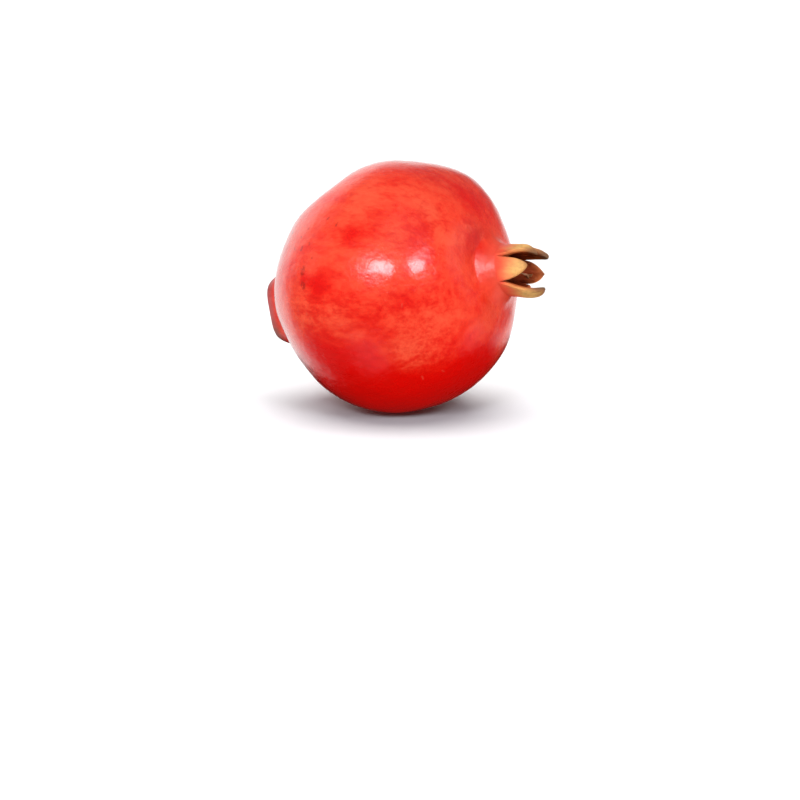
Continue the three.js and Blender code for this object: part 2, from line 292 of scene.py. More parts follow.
halfCount = crownShape["halfColumns"]
columnCount = bodyShape["lobes"] * 2 * halfCount
columnIndex = np.arange(columnCount)
lobeIndex = columnIndex // (2 * halfCount)
evenSide = (columnIndex % (2 * halfCount)) / halfCount - 1
halfLobe = math.pi / bodyShape["lobes"]
columnRise = 1 - np.abs(evenSide) ** crownShape["columnCurve"]
lobeTurn = bodyShape["firstRib"] * deg + lobeIndex * 2 * halfLobe
length, curl, hook, bow, lean, shoulder, pointed, tipWall, flatten, twist = (
    np.array(crownShape["lobes"])[lobeIndex].T
)


def lobeWidth(reach):
    # a lobe narrows to its tip as (1 - reach^shoulder)^pointed
    return np.clip(1 - reach ** shoulder, 0, 1) ** pointed


gatheredSide = np.sign(evenSide) * lobeWidth(columnRise)


def lobeFace(share, inner):
    # on the ring's curve, curling in as reach^hook, bowed out as sin(pi * reach^2), leaning as
    # reach^leanCurve, flattened and twisted as it rises, with rounded edges
    shape = crownShape
    halfWidth = neckShape["ringRadius"] * halfLobe
    full = length * (columnRise - shape["tipRounding"] * columnRise ** shape["tipSharpness"])
    height = np.maximum(full, shape["slitFloor"]) * share
    reach = height / length
    sideways = halfWidth * np.maximum(lobeWidth(reach) - lobeWidth(columnRise), 0)
    upwards = np.maximum(full - height, 0)
    toEdge = sideways * upwards / (np.hypot(sideways, upwards) + 1e-9)
    rounded = 1 - np.sqrt(1 - np.clip(1 - toEdge / shape["edgeRound"], 0, 1) ** 2)
    rounded = rounded * smooth(0, shape["roundFrom"], height)
    wall = tipWall + (shape["wall"] - tipWall) * np.clip(1 - reach, 0, 1) ** shape["thinning"]
    depth = wall * (1 - rounded / 2) if inner else wall * rounded / 2
    angle = gatheredSide * halfLobe
    radius = (neckShape["ringRadius"] - depth) * faceting(gatheredSide, 0, lobeTurn)
    inward = curl * reach ** hook - bow * np.sin(math.pi * reach ** 2)
    grown = smooth(0, shape["grownAt"], reach)
    radial = radius * (np.cos(angle) + flatten * grown * (1 - np.cos(angle))) - inward
    radial = radial + twist * grown * gatheredSide
    along = radius * np.sin(angle) + lean * reach ** shape["leanCurve"]
    points = np.stack([
        neckShape["slitLevel"] + height - shape["tipDrop"] * inward,
        radial * np.cos(lobeTurn) - along * np.sin(lobeTurn),
        radial * np.sin(lobeTurn) + along * np.cos(lobeTurn) - shape["nod"] * height,
    ], axis=-1)
    dry = smooth(*shape["dryFrom"], reach) * smooth(0, shape["dryInset"], toEdge)
    ridge = shape["ridgeHeight"] * np.cos(shape["ridges"] * math.pi * gatheredSide) * dry
    uneven = dry * ripples(points, *shape["shrivel"][inner])
    lift = (ridge + uneven) * (-shape["innerShrivel"] if inner else 1)
    points[..., 1] += lift * np.cos(lobeTurn)
    points[..., 2] += lift * np.sin(lobeTurn)
    return points, height / shape["colourLength"], toEdge


def ring(level, radius, gather):
    # gather moves the columns from even to drawn together at the slits
    side = evenSide + (gatheredSide - evenSide) * gather
    return roundAxis(level, radius, lobeTurn + side * halfLobe)


# what the rind's material reads at each point
markNames = ("neck", "reach", "edge", "inside", "knob", "cut", "blush", "pale")

# deeper red and paler places: tilt, turn, strength, spread. The deeper red is partly the skin's
# own tone and, on the lower flank, painted shade
blushPlaces = [
    (81, 148, 0.8, 7),
    (107, 164, 0.7, 4),
    (101, 169, 0.7, 6),
    (95, 166, 0.4, 6),
    (49, 140, 0.5, 7),
    (38, 94, 0.7, 13),
    (18, 133, 0.6, 5),
    (60, -178, 0.5, 9),
    (64, -175, 0.25, 6),
    (75, -165, 0.3, 8),
    # painted shade: these places make the lower flank a deeper red, as if it lay in shade under
    # the fruit
    (108, -153, 1.3, 15),
    (85, -157, 0.4, 8),
    (95, -137, 1.3, 17),
    (75, -126, 1.25, 18),
    (50, -108, 1.5, 15.5),
    (130, -120, 1.1, 27),
    (90, -80, 0.8, 27),
]
palePlaces = [
    (48, 129, 0.8, 4),
    (52, 124, 0.6, 5),
    (61, 119, 0.5, 6),
    (78, 122, 0.7, 8),
    (82, 133, 0.5, 7),
    (62, 150, 0.5, 6),
    (109, -178, 0.7, 9),
    (68, -146, 0.4, 7),
    (92, -176, 0.6, 7),
    (37, -158, 0.1, 9),
    (63, -150, 0.4, 9),
    (52, -160, 0.3, 8),
    (38, 142, 0.5, 8),
    (16, 160, 0.3, 5),
]

# rows from the stalk to the cup: first value, last value and number
rindRows = {
    "knobFace": (3.3, 8.4, 8),  # across the axis
    "knobSide": (8.8, 19.2, 28),
    "body": (152, 26, 100),  # tilt
    "neckFoot": (8.2, 1, 18),  # gap to the ring
    "neckTop": (0.8, 0.6, 8),  # first gap, and the share of each in the one before
    "gathered": (8.2, 0.6),  # gaps where the columns start to gather and have gathered
    "lobeWall": (0, 0.85, 24),  # share of the height
    "lobeTip": (0.87, 1, 10),
    "cup": (0, 90, 20),
}


def rowsOf(name):
    return np.linspace(*rindRows[name])


def band(points, **marks):
    made = {"points": points}
    for name in markNames:
        made[name] = np.broadcast_to(marks.get(name, 0.0), points.shape[:2])
    return made


def stalkBand():
    # a turned profile from the cut's middle over the rounded edge down to the knob
    shape = knobShape
    top, foot = shape["stalkLevel"], knobLevel(shape["stalkRadius"])
    levels = [top - drop for drop in shape["stalkDrops"]]
    levels = np.array([*levels, (top + foot) / 2, foot + shape["stalkFoot"], foot])
    radii = np.array(shape["stalkWidths"]) * shape["stalkRadius"]
    points = ring(-levels[:, None], radii[:, None], 0)
    points[:-1, :, 0] += ripples(points[:-1], *shape["stalkUneven"])
    return band(points, knob=1.0, cut=np.array(shape["stalkCut"])[:, None])


def skinBand():
    # rows by distance from the axis on the knob, by tilt on the body and by gap on the neck
    knobRows = np.concatenate([rowsOf("knobFace"), rowsOf("knobSide")])[:, None]
    knobTilts = math.pi - np.arcsin(knobRows / bodyShape["radius"])
    evenTilts = np.concatenate([knobTilts, rowsOf("body")[:, None] * deg])
    firstGap, shrink, count = rindRows["neckTop"]
    gaps = np.concatenate([rowsOf("neckFoot"), firstGap * shrink ** np.arange(count)])[:, None]
    gather = smooth(*rindRows["gathered"], gaps)
    neckSide = evenSide + (gatheredSide - evenSide) * gather
    neckTilts = tiltAt(neckShape["ringRadius"] + gaps, lobeTurn + neckSide * halfLobe)
    grid = (len(evenTilts), columnCount)
    tilts = np.concatenate([np.broadcast_to(evenTilts, grid), neckTilts])
    side = np.concatenate([np.broadcast_to(evenSide, grid), neckSide])
    turn = lobeTurn + side * halfLobe
    points, gap, knob = skin(tilts, turn, side)
    return band(
        points,
        neck=np.where(tilts < 90 * deg, np.exp(-gap / neckShape["colourFade"]), 0),
        knob=knob,
        # deeper red places, which on the lower flank are painted shade
        blush=bells(tilts, turn, blushPlaces),
        pale=bells(tilts, turn, palePlaces),
    )


def crownBands():
    # the lobes' outer faces from the slits up, then their inner faces down again
    shares = np.concatenate([rowsOf("lobeWall"), rowsOf("lobeTip")])[:, None]
    outerFade, innerFade = crownShape["rimFade"]
    outer, reach, toEdge = lobeFace(shares, False)
    outerBand = band(outer, neck=1.0, reach=reach, edge=np.exp(-toEdge / outerFade))
    inner, reach, toEdge = lobeFace(shares[::-1][1:], True)
    innerBand = band(inner, neck=1.0, reach=reach, edge=np.exp(-toEdge / innerFade), inside=1.0)
    return [outerBand, innerBand]


def cupBand():
    # the cup: (depth / full depth)^4 + (radius / full radius)^2 = 1
    angle = rowsOf("cup")[1:-1, None] * deg
    level = neckShape["slitLevel"] - crownShape["cupDepth"] * np.sqrt(np.sin(angle))
    radius = (neckShape["ringRadius"] - crownShape["wall"]) * np.cos(angle)
    points = ring(level, radius, 1 - angle / (90 * deg))
    points[..., 0] += ripples(points, *crownShape["cupUneven"]) * np.sin(2 * angle)
    return band(points, neck=1.0, inside=1.0)


def closedGrid(points, startPole, endPole):
    # rows of points round an axis, with a fan of triangles to a pole at each end
    rows, columns = points.shape[:2]
    corner = 1 + np.arange(rows * columns).reshape(rows, columns)
    across = np.roll(corner, -1, axis=1)
    quads = np.stack([corner[:-1], across[:-1], across[1:], corner[1:]], axis=-1).reshape(-1, 4)
    startFan = np.stack([np.zeros(columns, int), across[0], corner[0]], axis=-1)
    endFan = np.stack([corner[-1], across[-1], np.full(columns, 1 + rows * columns)], axis=-1)
    every = np.concatenate([[startPole], points.reshape(-1, 3), [endPole]])
    return every, quads.tolist() + startFan.tolist() + endFan.tolist()


def addObject(name, data):
    made = bpy.data.objects.new(name, data)
    scene.collection.objects.link(made)
    return made


def addPiece(name, points, faces):
    mesh = bpy.data.meshes.new(name)
    mesh.from_pydata(placed(points).tolist(), [], faces)
    mesh.shade_smooth()
    return addObject(name, mesh)


def sewn(name, bands, startPole, endPole):
    # the bands in one closed skin, where each pole takes the marks of its neighbour
    grid = {key: np.concatenate([one[key] for one in bands]) for key in ("points", *markNames)}
    piece = addPiece(name, *closedGrid(grid["points"], startPole, endPole))
    for key in markNames:
        values = grid[key].reshape(-1)
        values = np.concatenate([values[:1], values, values[-1:]])
        piece.data.attributes.new(key, "FLOAT", "POINT").data.foreach_set("value", values)
    return piece


rind = sewn(
    "pomegranateRind",
    [stalkBand(), skinBand(), *crownBands(), cupBand()],
    (-knobShape["stalkLevel"] + knobShape["stalkHollow"], 0, 0),
    (neckShape["slitLevel"] - crownShape["cupDepth"], 0, 0),
)
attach(rind, "root")
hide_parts("fruit")
print("rind made:", len(rind.data.vertices), "points")


tuftShape = {
    "count": 150,
    "matRadius": 4.7,
    "matLevels": (34.6, 36.2),
    "matGrid": (20, 72),  # rows and columns
    "matBumps": (0.2, 1.1, 41),
    "rootDepth": 0.5,
    "spread": (0.9, 4.5),
    "tops": (39.4, 44.2),
    "bends": (-0.5, 0.9),
    "sways": (-0.5, 0.5),  # radians round the axis
    "nod": 0.7,
    "threadRadius": 0.13,
    "threadGrid": (15, 5),  # steps and sides
    "antherLength": 1.5,
    "antherRadius": 0.42,
    "antherSpread": 0.5,
    "antherOverlap": 0.1,
    "antherEnds": 0.25,  # radians of the wave left off each end
    "antherGrid": (7, 6),
    "styleRadius": 0.5,
    "styleFoot": 35.4,
    "styleTop": 45.6,
    "styleLean": 1.1,
    "styleTurn": -70,
    "styleWaist": 0.35,
    "styleGrid": (14, 10),
    "strays": [  # out of the cup: level, across, turn, lean outwards
        (50.4, 1.0, 290, 4.0),
        (49.8, 1.4, 303, 3.6),
        (50.0, 0.8, 276, 3.2),
        (47.2, 2.4, 60, 1.0),
    ],
    "strayRadius": 0.22,
    "strayBend": -0.4,
    "straySway": 0.2,
    "unusedDirection": (0.13, 0.31, 0.94),  # no thread runs this way
    "seed": 7,
}


def tubes(name, paths, radii, sides):
    # many threads at once: rings of radius radii[step] across each path's direction
    count, steps = paths.shape[:2]
    along = np.gradient(paths, axis=1)
    along /= np.linalg.norm(along, axis=-1, keepdims=True)
    first = np.cross(along, np.array(tuftShape["unusedDirection"]))
    first /= np.linalg.norm(first, axis=-1, keepdims=True)
    second = np.cross(along, first)
    angle = np.arange(sides) * 2 * math.pi / sides
    spokes = (
        first[:, :, None] * np.cos(angle)[:, None] + second[:, :, None] * np.sin(angle)[:, None]
    )
    points = paths[:, :, None] + spokes * radii[..., None, None]
    corner = np.arange(count * steps * sides).reshape(count, steps, sides)
    across = np.roll(corner, -1, axis=2)
    quads = np.stack([corner[:, :-1], across[:, :-1], across[:, 1:], corner[:, 1:]], axis=-1)
    caps = corner[:, 0, ::-1].tolist() + corner[:, -1].tolist()
    return addPiece(name, points.reshape(-1, 3), quads.reshape(-1, 4).tolist() + caps)


def stamenPaths():
    # feet by the golden angle; each is bowed out as sin(pi * t), nods back as t^3, leans out as
    # t^4 and sways round the axis as t^2
    shape = tuftShape
    rng = np.random.default_rng(shape["seed"])
    index = np.arange(shape["count"])
    turn = index * math.pi * (3 - math.sqrt(5))
    low, high = shape["spread"]
    across = low + (high - low) * np.sqrt((index + 0.5) / shape["count"])
    foot = shape["matLevels"][1] - shape["rootDepth"]
    top = rng.uniform(*shape["tops"], shape["count"])
    bend = rng.uniform(*shape["bends"], shape["count"])
    sway = rng.uniform(*shape["sways"], shape["count"])
    strayLevel, strayAcross, strayTurn, strayLean = np.array(shape["strays"]).T
    top = np.concatenate([top, strayLevel])
    across = np.concatenate([across, strayAcross])
    turn = np.concatenate([turn, strayTurn * deg])
    bend = np.concatenate([bend, np.full(len(strayTurn), shape["strayBend"])])
    sway = np.concatenate([sway, np.full(len(strayTurn), shape["straySway"])])
    lean = np.concatenate([np.zeros(shape["count"]), strayLean])
    t = np.linspace(0, 1, shape["threadGrid"][0])[None, :]
    level = foot + (top - foot)[:, None] * t
    out = across[:, None] + bend[:, None] * np.sin(math.pi * t) - shape["nod"] * t ** 3
    out = out + lean[:, None] * t ** 4
    swing = turn[:, None] + sway[:, None] * t ** 2
    return roundAxis(level, out, swing)


def antherPaths(stamens):
    # short straight lines on from each thread's end, each turned a little its own way
    shape = tuftShape
    rng = np.random.default_rng(shape["seed"] + 1)
    tips = stamens[:, -1]
    heading = stamens[:, -1] - stamens[:, -2]
    heading /= np.linalg.norm(heading, axis=-1, keepdims=True)
    heading = heading + rng.normal(scale=shape["antherSpread"], size=heading.shape)
    heading /= np.linalg.norm(heading, axis=-1, keepdims=True)
    t = np.linspace(-shape["antherOverlap"], 1, shape["antherGrid"][0])[None, :, None]
    return tips[:, None] + heading[:, None] * t * shape["antherLength"]


def stylePath():
    # one line up from the mat that leans out and turns round the axis evenly
    shape = tuftShape
    t = np.linspace(0, 1, shape["styleGrid"][0])
    level = shape["styleFoot"] + (shape["styleTop"] - shape["styleFoot"]) * t
    return roundAxis(level, shape["styleLean"] * t, shape["styleTurn"] * deg * t)[None]


def matPiece():
    # a bumpy felted cushion, radius * sin(angle)^0.7 * (0.8 - 0.2 * cos(angle)) across
    shape = tuftShape
    low, high = shape["matLevels"]
    rows, columns = shape["matGrid"]
    angle = np.linspace(0, 180, rows + 2)[1:-1, None] * deg
    turn = np.arange(columns)[None, :] * 360 / columns * deg
    across = shape["matRadius"] * np.sin(angle) ** 0.7 * (0.8 - 0.2 * np.cos(angle))
    level = (low + high) / 2 - (high - low) / 2 * np.cos(angle)
    points = roundAxis(level, across, turn)
    points[..., 0] += ripples(points, *shape["matBumps"]) * np.sin(angle)
    return addPiece("stamenMat", *closedGrid(points, (low, 0, 0), (high, 0, 0)))


def makeTuft():
    # even threads, anthers that swell as half a sine wave, and a style thinnest half way
    shape = tuftShape
    lines = stamenPaths()
    sizes = np.full(lines.shape[:2], shape["threadRadius"])
    sizes[shape["count"]:] = shape["strayRadius"]
    threads = tubes("stamenThreads", lines, sizes, shape["threadGrid"][1])
    steps, sides = shape["antherGrid"]
    swell = np.sin(np.linspace(shape["antherEnds"], math.pi - shape["antherEnds"], steps))
    lines = antherPaths(lines)
    sizes = np.broadcast_to(shape["antherRadius"] * swell, lines.shape[:2])
    anthers = tubes("anthers", lines, sizes, sides)
    steps, sides = shape["styleGrid"]
    waist = 1 - shape["styleWaist"] * np.sin(math.pi * np.linspace(0, 1, steps))
    style = tubes("style", stylePath(), shape["styleRadius"] * waist[None], sides)
    return [threads, anthers, style, matPiece()]


tuftPieces = makeTuft()
for piece in tuftPieces:
    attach(piece, "root")
    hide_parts("stamens")
print("tuft made:", tuftShape["count"], "stamens")


def paint(red, green, blue):
    # display values from 0 to 255 to a scene-linear colour
    value = np.array([red, green, blue]) / 255
    linear = np.where(value <= 0.04045, value / 12.92, ((value + 0.055) / 1.055) ** 2.4)
    return (*linear.tolist(), 1.0)


def addNode(tree, kind, feeds=None, **settings):
    # feeds holds values or sockets for the node's inputs
    made = tree.nodes.new(kind)
    for key, value in settings.items():
        setattr(made, key, value)
    for key, value in (feeds or {}).items():
        if isinstance(value, bpy.types.NodeSocket):
            tree.links.new(value, made.inputs[key])
        else:
            made.inputs[key].default_value = value
    return made


def mathNode(tree, operation, *values):
    return addNode(tree, "ShaderNodeMath", dict(enumerate(values)), operation=operation).outputs[0]


def times(tree, first, second):
    return mathNode(tree, "MULTIPLY", first, second)


def weighted(tree, start, values, shares):
    # start plus the sum of each value times its share
    total = start
    for value, share in zip(values, shares):
        total = mathNode(tree, "MULTIPLY_ADD", value, share, total)
    return total


def vectorNode(tree, operation, feeds, output="Vector"):
    return addNode(tree, "ShaderNodeVectorMath", feeds, operation=operation).outputs[output]


def span(tree, value, low, high, toLow=0.0, toHigh=1.0):
    # a smooth step from toLow at low to toHigh at high
    feeds = {"Value": value, "From Min": low, "From Max": high, "To Min": toLow, "To Max": toHigh}
    node = addNode(tree, "ShaderNodeMapRange", feeds, interpolation_type="SMOOTHSTEP")
    return node.outputs["Result"]


def noiseNode(tree, place, scale, detail, roughness=0.5, warp=0.0):
    feeds = {"Vector": place, "Scale": scale, "Detail": detail}
    feeds |= {"Roughness": roughness, "Distortion": warp}
    return addNode(tree, "ShaderNodeTexNoise", feeds).outputs


def mixed(tree, factor, first, second, kind="RGBA"):
    # the node's two inputs and output go by the kind of value
    a, b, result = {"RGBA": (6, 7, 2), "FLOAT": (2, 3, 0)}[kind]
    feeds = {"Factor": factor, a: first, b: second}
    return addNode(tree, "ShaderNodeMix", feeds, data_type=kind).outputs[result]


def mark(tree, name):
    return addNode(tree, "ShaderNodeAttribute", attribute_name=name).outputs["Fac"]


def newGroup(name, values, outputs):
    # takes a vector and numbers with their usual values, and gives numbers
    tree = bpy.data.node_groups.new(name, "ShaderNodeTree")
    tree.interface.new_socket("Vector", in_out="INPUT", socket_type="NodeSocketVector")
    for key, value in values.items():
        socket = tree.interface.new_socket(key, in_out="INPUT", socket_type="NodeSocketFloat")
        socket.default_value = value
    for key in outputs:
        tree.interface.new_socket(key, in_out="OUTPUT", socket_type="NodeSocketFloat")
    return tree, tree.nodes.new("NodeGroupInput").outputs, tree.nodes.new("NodeGroupOutput").inputs


def makeMottle():
    # soft cloudy patches: noise through a smooth step from Low to High
    values = {"Scale": 100.0, "Warp": 0.4, "Low": 0.35, "High": 0.65}
    tree, given, wanted = newGroup("mottle", values, ["Mask"])
    noise = noiseNode(tree, given["Vector"], given["Scale"], 3.0, 0.55, given["Warp"])
    step = span(tree, noise["Fac"], given["Low"], given["High"])
    tree.links.new(step, wanted["Mask"])
    return tree


def makePores():
    # small round pores: within Width * random + Smallest of scattered points, in some cells
    values = {"Scale": 700.0, "Width": 0.35, "Smallest": 0.02, "Kept": 0.5}
    tree, given, wanted = newGroup("pores", values, ["Mask"])
    feeds = {"Vector": given["Vector"], "Scale": given["Scale"]}
    cells = addNode(tree, "ShaderNodeTexVoronoi", feeds)
    parts = addNode(tree, "ShaderNodeSeparateColor", {"Color": cells.outputs["Color"]})
    chosen = mathNode(tree, "LESS_THAN", parts.outputs["Red"], given["Kept"])
    size = weighted(tree, given["Smallest"], [given["Width"]], [parts.outputs["Green"]])
    near = span(tree, cells.outputs["Distance"], size, 0.0)
    tree.links.new(times(tree, near, chosen), wanted["Mask"])
    return tree


def makeWither():
    # dry wrinkles: thin furrows where noise is within Furrow of its middle value
    values = {"Scale": 600.0, "Contrast": 1.0, "Furrow": 0.09}
    tree, given, wanted = newGroup("wither", values, ["Mask", "Height"])
    noise = noiseNode(tree, given["Vector"], given["Scale"], 5.0, 0.6, 0.6)
    folded = mathNode(tree, "ABSOLUTE", mathNode(tree, "SUBTRACT", noise["Fac"], 0.5))
    furrow = span(tree, folded, given["Furrow"], 0.0)
    tree.links.new(times(tree, furrow, given["Contrast"]), wanted["Mask"])
    tree.links.new(noise["Fac"], wanted["Height"])
    return tree


mottleGroup = makeMottle()
poreGroup = makePores()
witherGroup = makeWither()


def useGroup(tree, group, **feeds):
    return addNode(tree, "ShaderNodeGroup", feeds, node_tree=group).outputs


def mottled(tree, place, scale, warp, low, high):
    feeds = {"Vector": place, "Scale": scale, "Warp": warp, "Low": low, "High": high}
    return useGroup(tree, mottleGroup, **feeds)["Mask"]


def startMaterial(name, settings):
    material = bpy.data.materials.new(name)
    material.use_nodes = True
    tree = material.node_tree
    shader = tree.nodes["Principled BSDF"]
    for key, value in settings.items():
        shader.inputs[key].default_value = value
    return material, tree, shader.inputs


def fruitCoordinates(tree, stretch):
    # object coordinates turned so that x runs along the fruit, and drawn out along it
    place = addNode(tree, "ShaderNodeTexCoord").outputs["Object"]
    feeds = {"Vector": place, "Rotation": (0, lie["crownLift"] * deg, 0), "Scale": (stretch, 1, 1)}
    return place, addNode(tree, "ShaderNodeMapping", feeds).outputs["Vector"]


def bumped(tree, height, distance, strength=1.0, under=None):
    feeds = {"Height": height, "Distance": distance, "Strength": strength}
    if under is not None:
        feeds["Normal"] = under
    return addNode(tree, "ShaderNodeBump", feeds).outputs["Normal"]


# lengths are in metres in the looks
rindLook = {
    # deepRed also carries the painted shade of the lower flank
    "deepRed": paint(222, 6, 1),
    "brightRed": paint(235, 32, 12),
    "salmon": paint(244, 84, 52),
    "dullRed": paint(196, 20, 8),
    "neckPink": paint(232, 84, 60),
    "lobeOrange": paint(238, 128, 80),
    "lobeTan": paint(240, 190, 110),
    "tipBrown": paint(136, 86, 54),
    "edgeGrey": paint(104, 82, 60),
    "liningDeep": paint(160, 60, 22),
    "liningTip": paint(150, 76, 38),
    "rimBrown": paint(206, 112, 58),
    "knobRed": paint(138, 18, 14),
    "knobPink": paint(180, 86, 82),
    "knobBrown": paint(136, 86, 74),
    "cutWood": paint(176, 138, 96),
    "speckBrown": paint(146, 16, 4),
    "shader": {"Coat Roughness": 0.12, "Coat IOR": 1.4},
    "grain": 0.5,  # the mottling is drawn out along the fruit by this
    "mottles": [  # broad, middle and fine: scale, warp, low, high
        (75.0, 0.3, 0.3, 0.7),
        (330.0, 0.2, 0.28, 0.72),
        (1100.0, 0.0, 0.28, 0.72),
    ],
    "pores": {"Scale": 620.0, "Width": 0.42, "Kept": 0.55},
    "wrinkles": {"Scale": 420.0, "Contrast": 0.6},
    "peel": (430.0, 3.0),  # scale, detail
    "wobble": (1100.0, 2.0),
    "wobbleWidth": 0.0012,  # how far the scars' edges stray
    "knobWaver": 0.004,  # and the edges of the knob's colours
    "cloud": (-0.51, (0.48, 0.36, 0.25)),  # start, and shares of the mottles
    "roughness": (0.25, (0.05, 0.3, 0.04)),  # start, and shares of mottle, dryness and neck
    "refraction": (1.45, (-0.1, -0.38)),  # start, and shares of neck and knob
    "blushOnPale": -0.4,
    "drynessOnCoat": -0.8,
    "peelDepth": 0.00022,
    "poreDepth": 0.00005,
    "wrinkleDepth": 0.0009,
    "wrinkleStrength": 0.8,
    # the strongest share of each
    "shares": {
        "pores": 0.18,
        "dull": 0.34,
        "scars": 0.65,
        "nicks": 0.5,
        "rim": 0.6,
        "liningRim": 0.7,
        "liningWrinkles": 0.5,
    },
    # where each mask starts and is full, and its values there if they aren't 0 and 1
    "spans": {
        "calmBlushAndShade": (0.0, 1.2, 1.0, 0.4),
        "salmon": (-0.7, 0.85),
        "deepRed": (0.0, 1.0),
        "scars": (0.38, 0.56, 0.2, 1.0),
        "neckPink": (0.25, 1.0, 0.0, 0.75),
        "unevenLobe": (0.0, 0.1, 0.0, 0.16),
        "lobeOrange": (0.0, 0.34),
        "lobeTan": (0.2, 0.6),
        "tipBrown": (0.68, 1.02, 0.0, 0.75),
        "lobeWrinkles": (0.2, 0.6, 0.0, 0.35),
        "rim": (0.1, 0.45),
        "edgeGrey": (0.6, 1.0, 0.0, 0.85),
        "liningTip": (0.4, 0.9),
        "liningGrey": (0.72, 1.0, 0.0, 0.7),
        "knobPink": (0.0520, 0.0440),  # heights across the fruit's own axis
        "knobBrown": (0.0380, 0.0320),
        "knob": (0.05, 0.8, 0.0, 0.95),
        "dryLobe": (0.1, 0.5),
        "waxyNeck": (0.15, 0.6, 0.8, 0.16),
    },
}

# brown scars and pale nicks: tilt and turn of both ends, and half the width in millimetres, of
# which the inner share is full
strokeCore = 0.4
scarStrokes = [
    (107, 159.6, 107.3, 161.4, 1.5),
    (107.4, 166.8, 107.1, 168, 1.6),
    (106.2, 138, 106.6, 138.9, 0.5),
    (111.3, 141, 110.9, 142, 0.45),
    (115.1, 146, 114.6, 147.1, 0.55),
    (94.7, 136, 95.2, 136.6, 0.5),
    (101.1, 155, 101.5, 155.8, 0.45),
    (89.4, 140.4, 89.9, 141.6, 0.65),
    (109, 147.8, 109.4, 149, 0.75),
    (104.3, 147, 104.1, 148, 0.6),
    (121.9, 131, 121.5, 132.2, 0.75),
    (21.5, -74.5, 22.5, -72, 0.5),
    (62, 20, 63.5, 21, 0.6),
    (120, 60, 120.8, 62, 0.45),
    (70, -60, 70.5, -57, 0.5),
    (98, 5, 100.5, 6, 0.6),
    (135, -20, 134, -17, 0.5),
]
nickStrokes = [
    (66.4, -133.8, 66.6, -131.8, 0.4),
    (57.5, -130, 57.3, -128.6, 0.35),
    (61, -175.6, 61.4, -174.4, 0.4),
]


def onSkin(tilt, turn):
    # the direction times the body's radius there
    return placed(towards(tilt * deg, turn * deg) * bodyRadius(tilt * deg, turn * deg))


def strokeMask(tree, coordinates, strokes):
    # one where it is nearer than half a width to a stroke's line from end to end
    total = 0.0
    for tilt, turn, endTilt, endTurn, halfWidth in strokes:
        start = onSkin(tilt, turn)
        line = onSkin(endTilt, endTurn) - start
        size = float(np.linalg.norm(line))
        heading = (line / size).tolist()
        offset = vectorNode(tree, "SUBTRACT", {0: coordinates, 1: start.tolist()})
        along = vectorNode(tree, "DOT_PRODUCT", {0: offset, 1: heading}, "Value")
        along = mathNode(tree, "MINIMUM", mathNode(tree, "MAXIMUM", along, 0.0), size)
        nearest = vectorNode(tree, "SCALE", {0: heading, "Scale": along})
        away = vectorNode(tree, "DISTANCE", {0: offset, 1: nearest}, "Value")
        stroke = span(tree, away, halfWidth * mm, halfWidth * mm * strokeCore)
        total = mathNode(tree, "MAXIMUM", total, stroke)
    return total


